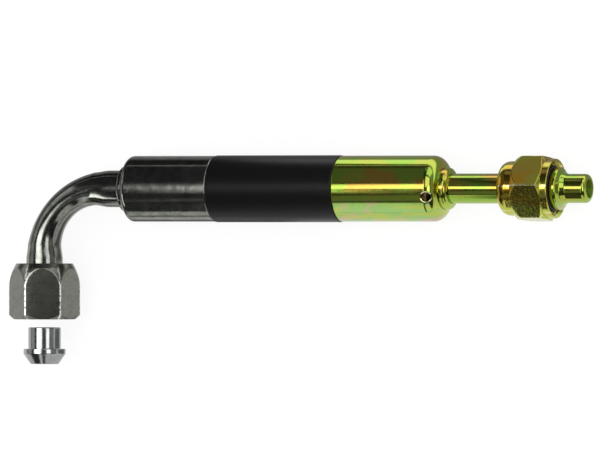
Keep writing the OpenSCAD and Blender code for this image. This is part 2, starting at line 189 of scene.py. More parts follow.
class Finishes(bpy.types.PropertyGroup):
    plating: colour("Plating", "Dark bright plating of the bent fitting", 0.27, 0.28, 0.25)
    # Nut plating is the same plating made darker for the left nut: a painted shade.
    nut_plating: colour("Nut plating", "The same plating on the left nut", 0.185, 0.205, 0.17)
    speck: colour("Speck", "Reddish specks in the plating of that nut", 0.30, 0.235, 0.225)
    steel: colour("Steel", "Bright turned steel of the nipple", 0.39, 0.40, 0.40)
    olive: colour("Olive", "Olive part of the yellow chromate", 0.46, 0.46, 0.07)
    green: colour("Green", "Green part of the yellow chromate", 0.31, 0.50, 0.07)
    brown: colour("Brown", "Brown part of the yellow chromate", 0.54, 0.36, 0.07)
    # Gold, pink and leaf are the colours on the -Y side of the chromate: partly the film's own colours, partly
    # a painted reflection that makes that side paler.
    gold: colour("Gold", "Pale gold part of the yellow chromate", 0.52, 0.58, 0.10)
    pink: colour("Pink", "Pale pink part of the yellow chromate", 0.56, 0.45, 0.30)
    leaf: colour("Leaf", "Pale green part of the yellow chromate", 0.34, 0.56, 0.17)
    amber: colour("Amber", "Amber of the chromate on the right nut", 0.62, 0.34, 0.03)
    rubber: colour("Rubber", "Cover of the hose", 0.0025, 0.0027, 0.0023)
    liner: colour("Liner", "Inner tube of the hose", 0.03, 0.03, 0.03)
    seal: colour("Seal", "Seal ring", 0.006, 0.006, 0.007)
    wire: colour("Wire", "Brass coat of the wire", 0.62, 0.47, 0.24)


class StudioSettings(bpy.types.PropertyGroup):
    tilt: value("Tilt", "Angle of the camera from straight above, in degrees", 22, 0, 90)
    width: size("Width", "Width of the view at the object", 259.8)
    lens: value("Lens", "Focal length in millimetres", 1000, 50, 1200)
    centre_x: size("Centre X", "Middle of the view along the hose", 0.24)
    centre_y: size("Centre Y", "Middle of the view across the hose", 15.2)
    floor_shade: value("Floor shade", "Share of the floor that takes a shadow", 0.16)


# ---------------------------------------------------------------- surfaces


def unit(vectors):
    length = np.linalg.norm(vectors, axis=-1, keepdims=True)
    return vectors / np.maximum(length, 1e-12)


def rounded(corners, steps=7):
    """Closed outline through (station, radius, trim) corners.

    Each corner becomes a parabola from the trim before it to the trim after it:
    (1 - s)^2 start + 2 s (1 - s) corner + s^2 end.
    """
    corners = np.array(corners, float)
    at, trim = corners[:, :2], corners[:, 2:]
    start = at + unit(np.roll(at, 1, axis=0) - at) * trim
    end = at + unit(np.roll(at, -1, axis=0) - at) * trim
    s = np.linspace(0, 1, steps)[None, :, None]
    curve = (1 - s) ** 2 * start[:, None] + 2 * s * (1 - s) * at[:, None] + s**2 * end[:, None]
    return curve.reshape(-1, 2)


def filled(outline, step):
    """The same closed outline, with points added so that no two are further apart than step."""
    closed = np.vstack([outline, outline[:1]])
    length = np.r_[0, np.cumsum(np.linalg.norm(np.diff(closed, axis=0), axis=1))]
    count = np.ceil(np.diff(length) / step).astype(int).clip(1)
    t = np.concatenate([np.linspace(a, b, n, endpoint=False) for a, b, n in zip(length, length[1:], count)])
    return np.stack([np.interp(t, length, closed[:, 0]), np.interp(t, length, closed[:, 1])], axis=1)


def along_hose(station, radius, angle, start=0.0):
    """Points at a station along +X and a radius from the hose's axis, with angle 0 up and 90 degrees +Y."""
    x = start + station + 0 * angle
    return np.stack([x, HOSE_Y + radius * np.sin(angle), AXIS_Z + radius * np.cos(angle)], axis=-1)


def along_leg(station, radius, angle, start=0.0):
    """Points at a station along -Y and a radius from the leg's axis, with angle 0 up and 90 degrees +X."""
    y = start - station + 0 * angle
    return np.stack([LEG_X + radius * np.sin(angle), y, AXIS_Z + radius * np.cos(angle)], axis=-1)


def surface(name, points, **masks):
    """Mesh of a grid of points that closes on itself both ways, so it has no open edge and no pole.

    A vertex's normal is the cross product of the differences between its neighbours along the two ways of the
    grid. The longer side weighs more in such a difference, so flats stay flat beside a small rounding.
    """
    rows, columns = points.shape[:2]
    index = np.arange(rows * columns).reshape(rows, columns)
    after, beside = np.roll(index, -1, 0), np.roll(index, -1, 1)
    quads = np.stack([index, after, np.roll(after, -1, 1), beside], axis=-1).reshape(-1, 4)
    along_rows = np.roll(points, -1, 0) - np.roll(points, 1, 0)
    along_columns = np.roll(points, -1, 1) - np.roll(points, 1, 1)
    normals = unit(np.cross(along_rows, along_columns)).reshape(-1, 3)
    corner = points.reshape(-1, 3)[quads] - points.mean((0, 1))
    volume = np.einsum("ij,ij->", corner[:, 0], np.cross(corner[:, 1], corner[:, 2]))
    volume += np.einsum("ij,ij->", corner[:, 0], np.cross(corner[:, 2], corner[:, 3]))
    if volume < 0:
        quads, normals = quads[:, ::-1], -normals
    mesh = bpy.data.meshes.new(name)
    mesh.from_pydata(points.reshape(-1, 3).tolist(), [], quads.tolist())
    mesh.polygons.foreach_set("use_smooth", np.ones(len(quads), bool))
    uv = mesh.uv_layers.new(name="UVMap")
    row, column = quads // columns, quads % columns
    row = row + rows * ((row == 0) & (row.max(1, keepdims=True) == rows - 1))
    column = column + columns * ((column == 0) & (column.max(1, keepdims=True) == columns - 1))
    flat = np.stack([column / columns, row / rows], axis=-1).astype(np.float32)
    uv.uv.foreach_set("vector", flat.ravel())
    for label, mask in masks.items():
        given = mesh.attributes.new(label, "FLOAT", "POINT")
        given.data.foreach_set("value", (mask + np.zeros(points.shape[:2])).ravel().astype(np.float32))
    mesh.update()
    mesh.normals_split_custom_set_from_vertices(normals.tolist())
    piece = bpy.data.objects.new(name, mesh)
    bpy.context.scene.collection.objects.link(piece)
    return piece


def circle(count):
    return np.linspace(0, 2 * math.pi, count, endpoint=False)


def turned(name, outline, place, start, bore=0.0, count=128):
    """An outline carried round an axis: the radius is the same at every angle. The bore is marked inside."""
    station, radius = outline[:, :1], outline[:, 1:]
    angle = circle(count)[None, :] + 0 * station
    return surface(name, place(station, radius, angle, start), inside=radius <= bore + 0.05 * MM)


def hexagon(radius, angle, flat_radius, power=160.0):
    """Rounded minimum of a turned radius and a hexagon, with a flat at angle 0.

    The hexagon's radius is flat_radius over the largest cosine of the angle to a flat. A high power mean
    stands for that largest value and for the minimum, which rounds the edges a little.
    """
    turns = np.radians([0, 60, 120]).reshape(3, *[1] * np.ndim(angle))
    largest = (np.abs(np.cos(angle[None] - turns)) ** power).sum(0) ** (1 / power)
    across = flat_radius / largest
    return radius * (1 + (radius / across) ** (2 * power)) ** (-0.5 / power)


def corner_angles(per_side):
    """Angles round a hexagon that crowd towards its corners: 30 degrees times the sine of an even spread."""
    t = np.linspace(-1, 1, per_side, endpoint=False)
    side = np.radians(30) * np.sin(t * math.pi / 2)
    return (np.radians(60) * np.arange(6)[:, None] + side[None, :]).ravel()


def thread(station, angle, pitch, depth, low, high):
    """How far a helical groove stands outside the crests.

    It is a zigzag of station over pitch plus angle over a turn, cut flat at the crests and at the bottom. It
    deepens over a pitch from low, and at high it breaks off at two fifths of its depth.
    """
    phase = station / pitch + angle / (2 * math.pi)
    zigzag = 1 - np.abs(2 * (phase % 1) - 1)
    groove = np.clip(zigzag * GROOVE_SLOPE - GROOVE_START, 0, 1)
    ends = np.clip((station - low) / pitch, 0, 1) * np.clip((high - station) / (0.6 * pitch) + 0.4, 0, 1)
    return depth * groove * ends


def nut(name, outside, place, start, length, seat, s, threads):
    """An outline of (station, radius, trim) corners cut by a hexagon, with a helical thread in its bore.

    The outline goes on from the outside corners down the bore: a chamfer, the crests of the thread, an
    undercut that ends at the seat, and the bearing behind it. The seat is a station, and s the nut's sizes.
    """
    chamfer, small, tiny = 1 * MM, 0.25 * MM, 0.05 * MM
    shoulder = length - s.thread_length
    corners = outside + [
        (length, s.thread_radius + chamfer, small),
        (length - chamfer, s.thread_radius, tiny),
        (shoulder, s.thread_radius, tiny),
        (shoulder, s.thread_radius + threads.relief, tiny),
        (seat, s.thread_radius + threads.relief, small),
        (seat, s.bearing_radius, small),
        (0, s.bearing_radius, small),
    ]
    outline = filled(rounded(corners), 0.45 * MM)
    low, high = shoulder + 0.2 * MM, length - 1.1 * MM
    crest = (outline[:, 1] < s.thread_radius + tiny) & (outline[:, 0] > low) & (outline[:, 0] < high)
    first, last = np.flatnonzero(crest)[[0, -1]]
    bore = np.arange(high, low, -threads.pitch / STEPS_PER_PITCH)
    bore = np.stack([bore, np.full(len(bore), s.thread_radius)], axis=1)
    outline = np.vstack([outline[:first], bore, outline[last + 1 :]])
    row = np.arange(len(outline))[:, None]
    station, radius = outline[:, :1], outline[:, 1:]
    angle = corner_angles(POINTS_PER_FLAT)[None, :] + 0 * station
    grid = hexagon(radius + 0 * angle, angle, s.flat_radius)
    groove = thread(station, angle, threads.pitch, threads.depth, low, high)
    grid = grid + np.where((row >= first) & (row < first + len(bore)), groove, 0)
    # Mask of the corners, where the colour turns bright: partly wear, partly a painted highlight.
    off_corner = np.degrees(np.abs((angle + math.radians(60)) % math.radians(60) - math.radians(30)))
    edge = np.exp(-((off_corner / EDGE_WEAR_AND_HIGHLIGHT_DEGREES) ** 2))
    return surface(name, place(station, grid, angle + math.radians(s.turn), start), edge=edge)


# ---------------------------------------------------------------- materials

LATHE_X = (5200.0, 14.0, 14.0)  # how much a vector is stretched for a piece turned about X
LATHE_Y = (14.0, 5200.0, 14.0)  # and about Y
LINE_DEPTH = 0.0002
SKIN_DEPTH = 0.0004
CLOTH_DEPTH = 0.0001
CLOTH_WAVES = (160, 110, 1)  # along the hose and round it
FILM = ("olive", "green", "brown", "gold", "pink", "leaf")
AMBER_FILM = {"olive": "brown", "green": "olive", "brown": "amber", "pink": "amber", "leaf": "gold"}


def feed(tree, socket, given):
    """Links a socket to another one, or sets its value."""
    if isinstance(given, bpy.types.NodeSocket):
        tree.links.new(given, socket)
    else:
        socket.default_value = given


def fill(tree, node, **values):
    """Sets a node's inputs by name, with underscores for spaces, and its properties."""
    for key, given in values.items():
        socket = node.inputs.get(key.replace("_", " "))
        if socket is None:
            setattr(node, key, given)
        else:
            feed(tree, socket, given)
    return node


def new_node(tree, kind, **values):
    """A new node with its properties and its inputs set by name."""
    return fill(tree, tree.nodes.new(kind), **values)


def operated(tree, kind, operation, given, **values):
    """The outputs of a node that works on numbers, vectors or sockets, given in the order of its inputs."""
    node = new_node(tree, kind, operation=operation, **values)
    for socket, each in zip(node.inputs, given):
        feed(tree, socket, each)
    return node.outputs


def maths(tree, operation, *given, clamp=False):
    """MULTIPLY_ADD is the first times the second plus the third."""
    return operated(tree, "ShaderNodeMath", operation, given, use_clamp=clamp)[0]


def times(tree, first, second):
    return maths(tree, "MULTIPLY", first, second)


def vector_maths(tree, operation, *given):
    outputs = operated(tree, "ShaderNodeVectorMath", operation, given)
    return outputs["Value" if operation == "LENGTH" else "Vector"]


def added(tree, base, *terms):
    """A value plus each amount times its socket, with the terms as (amount, socket)."""
    for amount, socket in terms:
        base = maths(tree, "MULTIPLY_ADD", socket, amount, base)
    return base


def mixed(tree, factor, first, second):
    """A colour mixed from two, by a factor."""
    node = new_node(tree, "ShaderNodeMix", data_type="RGBA")
    feed(tree, node.inputs[0], factor)
    for socket, given in zip(node.inputs[6:8], (first, second)):
        feed(tree, socket, given if isinstance(given, bpy.types.NodeSocket) else (*given[:3], 1))
    return node.outputs[2]


def smoothly(tree, given, low, high):
    """0 at low and 1 at high, with a smooth step between them. Low may be the larger one."""
    node = new_node(
        tree, "ShaderNodeMapRange", interpolation_type="SMOOTHSTEP", Value=given, From_Min=low, From_Max=high
    )
    return node.outputs["Result"]


def band(tree, given, rise, fall):
    """1 between two smooth steps, each given by where it is 0 and where it is 1."""
    return times(tree, smoothly(tree, given, *rise), smoothly(tree, given, *fall))


def noise(tree, vector, scale, detail=3.0, roughness=0.5, distortion=0.0):
    node = new_node(tree, "ShaderNodeTexNoise", Vector=vector, Scale=scale, Detail=detail)
    return fill(tree, node, Roughness=roughness, Distortion=distortion).outputs["Fac"]


def stretched(tree, vector, scale):
    return new_node(tree, "ShaderNodeMapping", Vector=vector, Scale=scale).outputs["Vector"]


def separated(tree, vector):
    """The X, Y and Z of a vector."""
    return new_node(tree, "ShaderNodeSeparateXYZ", Vector=vector).outputs


def object_vector(tree):
    return tree.nodes.new("ShaderNodeTexCoord").outputs["Object"]


def marked(tree, label):
    """The mask that a mesh carries under that name, which is 0 on a mesh without it."""
    return new_node(tree, "ShaderNodeAttribute", attribute_name=label).outputs["Fac"]


def bumped(tree, height, strength, depth, **normal):
    """A normal that follows a height of that depth, over another normal if there is one."""
    node = new_node(tree, "ShaderNodeBump", Strength=strength, Distance=depth, Height=height, **normal)
    return node.outputs["Normal"]


def group(name, inputs, outputs):
    """An empty node group with the given sockets. Returns (group, its input node, its output node)."""
    tree = bpy.data.node_groups.new(name, "ShaderNodeTree")
    for label, kind, default in inputs:
        socket = tree.interface.new_socket(name=label, in_out="INPUT", socket_type=kind)
        if default is not None:
            socket.default_value = default
    for label, kind in outputs:
        tree.interface.new_socket(name=label, in_out="OUTPUT", socket_type=kind)
    return tree, tree.nodes.new("NodeGroupInput"), tree.nodes.new("NodeGroupOutput")


def use(tree, shared, **values):
    """A shared group placed in a material."""
    return new_node(tree, "ShaderNodeGroup", node_tree=shared, **values)


def turning_marks():
    """Fine lines left by a lathe, with a soft unevenness and small pits.

    The vector is stretched so that it changes quickly along the axis of turning and slowly round it.
    """
    name = "turning marks"
    if name in bpy.data.node_groups:
        return bpy.data.node_groups[name]
    tree, given, result = group(
        name,
        [
            ("Vector", "NodeSocketVector", None),
            ("Round", "NodeSocketVector", None),
            ("Roughness", "NodeSocketFloat", 0.2),
        ],
        [("Height", "NodeSocketFloat"), ("Roughness", "NodeSocketFloat"), ("Shade", "NodeSocketFloat")],
    )
    lines = noise(tree, given.outputs["Vector"], 1.0, 4, 0.65)
    bands = noise(tree, given.outputs["Vector"], 0.12, 2)
    pits = smoothly(tree, noise(tree, given.outputs["Round"], 2600, 2, 0.6), 0.68, 0.8)
    waves = noise(tree, given.outputs["Round"], 90, 2)
    rough = added(tree, given.outputs["Roughness"], (0.12, lines), (0.08, waves), (0.25, pits))
    height = added(tree, lines, (0.6, bands), (-1.2, pits))
    fill(tree, result, Height=height, Roughness=maths(tree, "SUBTRACT", rough, 0.1, clamp=True), Shade=pits)
    return tree


def principled(name):
    """A new material. Returns (material, its tree, its shader)."""
    material = bpy.data.materials.new(name)
    material.use_nodes = True
    tree = material.node_tree
    return material, tree, tree.nodes["Principled BSDF"]


def worn_and_highlit_edge(tree, shade, bright):
    """The colour, turned bright in a broken line along the edges that the mesh marks: partly wear, partly a
    painted highlight of those edges.
    """
    broken = smoothly(tree, noise(tree, object_vector(tree), 900), 0.38, 0.55)
    return mixed(tree, times(tree, marked(tree, "edge"), broken), shade, bright)


def rougher_inside(tree, rough):
    """The roughness, raised where the mesh marks a bore, which a drill leaves duller than a lathe does."""
    return maths(tree, "MULTIPLY_ADD", marked(tree, "inside"), 0.45, rough, clamp=True)


def turned_skin(tree, vector, shade, pit, bright, lathe, roughness, bump, peel, grain):
    """Turning marks, pits, worn edges that carry a painted highlight, and an uneven skin over a colour.
    Returns (colour, roughness, normal).

    Grain is the scale of that skin, and peel its strength.
    """
    lines = stretched(tree, vector, lathe)
    marks = use(tree, turning_marks(), Vector=lines, Round=vector, Roughness=roughness)
    shade = worn_and_highlit_edge(tree, mixed(tree, marks.outputs["Shade"], shade, pit), bright)
    normal = bumped(tree, marks.outputs["Height"], bump, LINE_DEPTH)
    if peel:
        normal = bumped(tree, noise(tree, vector, grain, 3, 0.6), peel, SKIN_DEPTH, Normal=normal)
    return shade, rougher_inside(tree, marks.outputs["Roughness"]), normal


def metal(name, tint, roughness, lathe, worn=0.35, bump=0.02, peel=0.0, speck=None):
    """Plated or bare metal whose shade changes slowly over its surface, with specks if they have a colour."""
    material, tree, shader = principled(name)
    vector = object_vector(tree)
    clouds = smoothly(tree, noise(tree, vector, 260, 4, 0.6, 0.4), 0.35, 0.7)
    shade = mixed(tree, clouds, [c * (1 - worn) for c in tint], tint)
    if speck:
        shade = mixed(tree, smoothly(tree, noise(tree, vector, 1900, 2, 0.7), 0.5, 0.7), shade, speck)
    # Bright is the colour of the worn edges and of their painted highlight.
    pit, bright = [c * 0.35 for c in tint], (0.85, 0.85, 0.83)
    shade, rough, normal = turned_skin(tree, vector, shade, pit, bright, lathe, roughness, bump, peel, 620)
    fill(tree, shader, Base_Color=shade, Roughness=rough, Metallic=1, Normal=normal)
    return material


def chromate_film():
    """Colours of a yellow chromate film: olive, green and brown clouds, and paler ones towards -Y.

    Noises stretched along the hose pick between the colours. The clouds turn greener and less brown towards -Y
    of the axis. The pale ones fade in from the axis towards -Y: partly the film's own colours, partly a
    painted reflection of the white floor that makes that side paler.
    """
    name = "chromate film"
    if name in bpy.data.node_groups:
        return bpy.data.node_groups[name]
    tree, given, result = group(
        name,
        [("Vector", "NodeSocketVector", None)]
        + [(label.capitalize(), "NodeSocketColor", None) for label in FILM],
        [("Colour", "NodeSocketColor")],
    )
    vector, colours = given.outputs["Vector"], given.outputs
    y = separated(tree, vector)["Y"]
    # Painted reflection: the paler colours towards -Y stand in for the white floor seen in the film.
    painted_pale_side = smoothly(tree, y, HOSE_Y - 4 * MM, HOSE_Y - 9 * MM)
    greener = smoothly(tree, y, HOSE_Y + 2 * MM, HOSE_Y - 3 * MM)
    long = stretched(tree, vector, (0.55, 1.0, 1.0))
    first = smoothly(tree, noise(tree, long, 120, 4, 0.6, 0.8), 0.42, 0.6)
    first = maths(tree, "ADD", first, maths(tree, "MULTIPLY_ADD", greener, 0.3, 0.3), clamp=True)
    second = smoothly(tree, noise(tree, stretched(tree, long, (1, 0.8, 1.3)), 95, 3, 0.55, 0.6), 0.5, 0.66)
    second = times(tree, second, maths(tree, "MULTIPLY_ADD", greener, -0.6, 1.0))
    third = smoothly(tree, noise(tree, long, 150, 3, 0.5, 0.8), 0.52, 0.64)
    fourth = smoothly(tree, noise(tree, stretched(tree, long, (0.8, 1.2, 0.9)), 110, 3, 0.5, 0.6), 0.44, 0.6)
    upper = mixed(tree, first, colours["Olive"], colours["Green"])
    upper = mixed(tree, second, upper, colours["Brown"])
    pale_side_colours = mixed(tree, third, colours["Leaf"], colours["Pink"])
    pale_side_colours = mixed(tree, times(tree, fourth, 0.8), pale_side_colours, colours["Gold"])
    fill(tree, result, Colour=mixed(tree, painted_pale_side, upper, pale_side_colours))
    return tree


def chromate(name, finish, hole=None, peel=0.0, **others):
    """Glossy yellow chromate over zinc. Others swap colours of the film for other ones of the finishes.

    With hole, a point, a direction and a radius, a drilled hole gets a rounded rim with a painted highlight,
    and a painted shade inside it.
    """
    material, tree, shader = principled(name)
    vector = object_vector(tree)
    film = {label.capitalize(): (*getattr(finish, others.get(label, label)), 1) for label in FILM}
    colour = use(tree, chromate_film(), Vector=vector, **film).outputs["Colour"]
    # Bright is the colour of the worn edges and of their painted highlight.
    pit, bright = (0.12, 0.11, 0.04), (0.92, 0.86, 0.45)
    shade, rough, normal = turned_skin(tree, vector, colour, pit, bright, LATHE_X, 0.12, 0.02, peel, 800)
    if hole:
        point, way, radius = hole
        across = vector_maths(tree, "CROSS_PRODUCT", vector_maths(tree, "SUBTRACT", vector, point), way)
        away = vector_maths(tree, "LENGTH", across)
        # Painted highlight on the rim of the hole and painted shade inside it, over a bump that rounds the
        # rim.
        rim = smoothly(tree, away, radius, radius + 0.7 * MM)
        deep = smoothly(tree, away, radius + 0.03 * MM, radius + 0.18 * MM)
        shade = mixed(tree, deep, (0.03, 0.027, 0.012), mixed(tree, rim, (0.95, 0.9, 0.6), shade))
        normal = bumped(tree, rim, 1, SKIN_DEPTH, Normal=normal)
    fill(tree, shader, Base_Color=shade, Roughness=rough, Metallic=1, Normal=normal)
    return material


def rubber(name, tint, roughness, wrap=False):
    """Black rubber with fine dust. With wrap, its UV map carries the imprint of the cloth it was cured in."""
    material, tree, shader = principled(name)
    coordinates = tree.nodes.new("ShaderNodeTexCoord").outputs
    vector = coordinates["Object"]
    dust = smoothly(tree, noise(tree, vector, 1400, 3, 0.6), 0.55, 0.8)
    shade = mixed(tree, times(tree, dust, 0.5), tint, [c * 2 + 0.001 for c in tint])
    rough = added(tree, roughness, (0.15, noise(tree, vector, 500)))
    height = noise(tree, vector, 3000)
    if wrap:
        cloth = separated(tree, stretched(tree, coordinates["UV"], CLOTH_WAVES))
        warp, weft = [maths(tree, "SINE", times(tree, cloth[axis], 2 * math.pi)) for axis in "XY"]
        height = added(tree, height, (0.6, times(tree, warp, weft)))
    fill(tree, shader, Base_Color=shade, Roughness=rough, Specular_IOR_Level=0.24)
    fill(tree, shader, Normal=bumped(tree, height, 0.12, CLOTH_DEPTH))
    return material


def witness_hole():
    """A point on the axis of the hole in the right ferrule, the direction of that axis, and its radius."""
    land, radius, turn = 2 * MM, 2 * MM, math.radians(15)
    end = span("right_ferrule", 0)[1]
    return (end - land - radius, HOSE_Y, AXIS_Z), (0, -math.sin(turn), math.cos(turn)), radius


MATERIALS = {
    "left plating": lambda name, c: metal(name, c.plating, 0.14, LATHE_X, peel=0.05),
    "leg plating": lambda name, c: metal(
        name, c.nut_plating, 0.2, LATHE_Y, worn=0.2, peel=0.04, speck=c.speck
    ),
    "bright steel": lambda name, c: metal(name, c.steel, 0.16, LATHE_Y, worn=0.15, bump=0.05),
    "brassed wire": lambda name, c: metal(name, c.wire, 0.3, LATHE_X),
    "yellow chromate": lambda name, c: chromate(name, c),
    "drilled chromate": lambda name, c: chromate(name, c, witness_hole()),
    "nut chromate": lambda name, c: chromate(name, c, peel=0.1, **AMBER_FILM),
    "cover rubber": lambda name, c: rubber(name, c.rubber, 0.26, wrap=True),
    "liner rubber": lambda name, c: rubber(name, c.liner, 0.5),
    "seal rubber": lambda name, c: rubber(name, c.seal, 0.4),
}


def finished(name):
    """The material of that name, made the first time that it is asked for."""
    return bpy.data.materials.get(name) or MATERIALS[name](name, bpy.context.scene.hose_finishes)


def dress(piece, body, material, slot, *nodes):
    """Gives a new piece its material, hides the CAD nodes it stands for, and lets it ride on a body. Slot is
    not used.
    """
    piece.data.materials.append(finished(material))
    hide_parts(*nodes)
    if body:
        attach(piece, body)
    return piece


# ---------------------------------------------------------------- pieces


class HOSE_OT_bent_tube(bpy.types.Operator):
    """Bent tube, from the stem to the end of the leg"""

    bl_idname = "hose.bent_tube"
    bl_label = "Bent tube"

    def execute(self, context):
        """An ellipse carried along a straight line, a quarter turn and a second straight line, out and back.

        On the way out it is the outside of the tube, and on the way back the bore. Its two half widths and its
        shift towards the middle of the bend are smooth functions of the distance along the path.
        """
        s = context.scene.hose_bent_tube
        run = span("elbow_tube", 0)[1] - LEG_X - s.bend
        leg = HOSE_Y - s.bend - span("elbow_tube", 1)[0]
        arc = s.bend * math.pi / 2
        total = run + arc + leg
        step, lip = 0.6 * MM, 0.4 * MM
        out = np.linspace(0, total, int(total / step))
        seat = total - s.socket_depth
        inner = np.concatenate([[total], np.linspace(total - lip, seat, 14), [seat - lip]])
        inner = np.concatenate([inner, np.linspace(seat - lip - step, 0, int(total / step))])
        path = np.concatenate([out, inner])
        bored = np.arange(len(path)) >= len(out)

        def eased(t):
            t = np.clip(t, 0, 1)
            return t * t * (3 - 2 * t)

        begun = eased((path - run + s.widening) / s.widening)
        begun = begun * eased((run + arc + s.widening - path) / s.widening)
        bent = np.sin(np.clip((path - run) / arc, 0, 1) * math.pi) ** 0.8
        wide = s.radius + (s.drawn_width - s.radius) * begun + (s.middle_width - s.drawn_width) * bent
        tall = s.radius + (s.middle_height - s.radius) * np.maximum(0.6 * begun, bent)
        shift = s.inward * bent
        wall = np.where(bored, s.wall, 0)
        socket = bored & (path > seat - 0.01 * MM)
        edge = np.where(~bored & (path > total - 0.01 * MM), 0.3 * MM, 0)
        wide, tall = wide - wall - edge, tall - wall - edge
        wide, tall = np.where(socket, s.socket_radius, wide), np.where(socket, s.socket_radius, tall)
        turn = np.clip((path - run) / arc, 0, 1) * math.pi / 2
        before, after = np.clip(run - path, 0, None), np.clip(path - run - arc, 0, None)
        centre_x = LEG_X + s.bend + before - (s.bend - shift) * np.sin(turn)
        centre_y = HOSE_Y - s.bend - after + (s.bend - shift) * np.cos(turn)
        angle = circle(96)[None, :]
        offset = wide[:, None] * np.cos(angle)
        points = np.stack(
            [
                centre_x[:, None] - offset * np.sin(turn)[:, None],
                centre_y[:, None] + offset * np.cos(turn)[:, None],
                AXIS_Z + tall[:, None] * np.sin(angle),
            ],
            axis=-1,
        )
        dress(surface("bent_tube", points), "elbow_end", "left plating", "left_plating", "elbow_tube")
        return {"FINISHED"}


class HOSE_OT_left_nut(bpy.types.Operator):
    """Swivel nut on the leg"""

    bl_idname = "hose.left_nut"
    bl_label = "Left nut"

    def execute(self, context):
        """The outline has a 45 degree chamfer in front and a long rounding at the back of the corners."""
        s, threads = context.scene.hose_left_nut, context.scene.hose_threads
        low, high = span("left_nut", 1)
        length = high - low
        corner = s.flat_radius / math.cos(math.radians(30))
        drop = corner - s.flat_radius
        straight = 0.47 * length
        share = np.linspace(0, 1, 7)[:-1]
        fall = s.back_round - np.sqrt(s.back_round**2 - (straight * (1 - share)) ** 2)
        back = [(straight * a, corner - b, 0.4 * MM if a else 0.25 * MM) for a, b in zip(share, fall)]
        front = [
            (straight, corner, 0.5 * MM),
            (length - drop, corner, 0.3 * MM),
            (length, corner - drop, 0.25 * MM),
        ]
        piece = nut("left_nut_body", back + front, along_leg, high, length, s.bearing_length, s, threads)
        dress(piece, "left_nut", "leg plating", "nut_plating", "left_nut")
        return {"FINISHED"}


class HOSE_OT_right_nut(bpy.types.Operator):
    """Swivel nut on the straight tube"""

    bl_idname = "hose.right_nut"
    bl_label = "Right nut"

    def execute(self, context):
        """The turned outline has a round collar behind the hexagon and a round band in front of it."""
        s, threads = context.scene.hose_right_nut, context.scene.hose_threads
        low, high = span("right_nut", 0)
        length = high - low
        corner = s.flat_radius / math.cos(math.radians(30))
        hex_end = length - s.band_length
        outside = [
            (0, s.collar_radius, s.collar_round),
            (s.collar_length, s.collar_radius, 0.4 * MM),
            (s.collar_length, s.flat_radius - 0.1 * MM, 0.25 * MM),
            (s.collar_length + s.back_fall, corner, 0.8 * MM),
            (hex_end - 1.2 * MM, corner, 0.4 * MM),
            (hex_end, s.flat_radius - 0.1 * MM, 0.25 * MM),
            (hex_end, s.band_radius, 0.2 * MM),
            (length, s.band_radius, 0.5 * MM),
        ]
        piece = nut("right_nut_body", outside, along_hose, low, length, s.shoulder, s, threads)
        dress(piece, "right_nut", "nut chromate", "yellow_zinc", "right_nut")
        return {"FINISHED"}


class HOSE_OT_nipple(bpy.types.Operator):
    """Loose sealing nipple"""

    bl_idname = "hose.nipple"
    bl_label = "Sealing nipple"

    def execute(self, context):
        """A spigot, a flange and a cone, turned in one piece."""
        s = context.scene.hose_nipple
        high = span("sealing_nipple", 1)[1]
        flange_end = s.spigot_length + s.flange_rim
        end = flange_end + s.cone_length
        corners = [
            (0, s.spigot_radius, 0.5 * MM),
            (s.spigot_length, s.spigot_radius, 0.2 * MM),
            (s.spigot_length, s.flange_radius, 0.4 * MM),
            (flange_end, s.flange_radius, 0.3 * MM),
            (end, s.cone_radius, 0.4 * MM),
            (end, s.bore, 0.2 * MM),
            (0, s.bore, 0.3 * MM),
        ]
        piece = turned("sealing_nipple_body", rounded(corners), along_leg, high, s.bore)
        dress(piece, "nipple", "bright steel", "nipple_steel", "sealing_nipple")
        return {"FINISHED"}


class HOSE_OT_pilot(bpy.types.Operator):
    """Shank, bead and pilot nose"""

    bl_idname = "hose.pilot"
    bl_label = "Pilot nose"

    def execute(self, context):
        """Shank, seal groove, bead, filleted neck and nose, turned in one piece."""
        s = context.scene.hose_pilot
        low, high = span("right_pilot", 0)
        length = high - low
        neck_end = length - s.nose_length
        bead = neck_end - s.neck
        rim = bead - s.bead_rim
        groove = rim - s.land
        small, tiny = 0.2 * MM, 0.05 * MM
        corners = [
            (0, s.shank_radius, 0.5 * MM),
            (groove - s.groove_length, s.shank_radius, small),
            (groove - s.groove_length, s.groove_radius, small),
            (groove, s.groove_radius, small),
            (groove, s.shank_radius, small),
            (rim, s.shank_radius, tiny),
            (rim, s.bead_radius, 0.22 * MM),
            (bead, s.bead_radius, 0.6 * MM),
            (bead + 1.1 * MM, s.nose_radius + 0.7 * MM, 0.35 * MM),
            (neck_end, s.nose_radius, 0.5 * MM),
            (length, s.nose_radius, s.nose_round),
            (length, s.bore, 0.15 * MM),
            (s.socket_depth, s.bore, small),
            (s.socket_depth, s.socket_radius, small),
            (0, s.socket_radius, small),
        ]
        piece = turned("pilot_nose_body", rounded(corners), along_hose, low, s.bore)
        dress(piece, "straight_end", "yellow chromate", "yellow_zinc", "right_pilot")
        return {"FINISHED"}


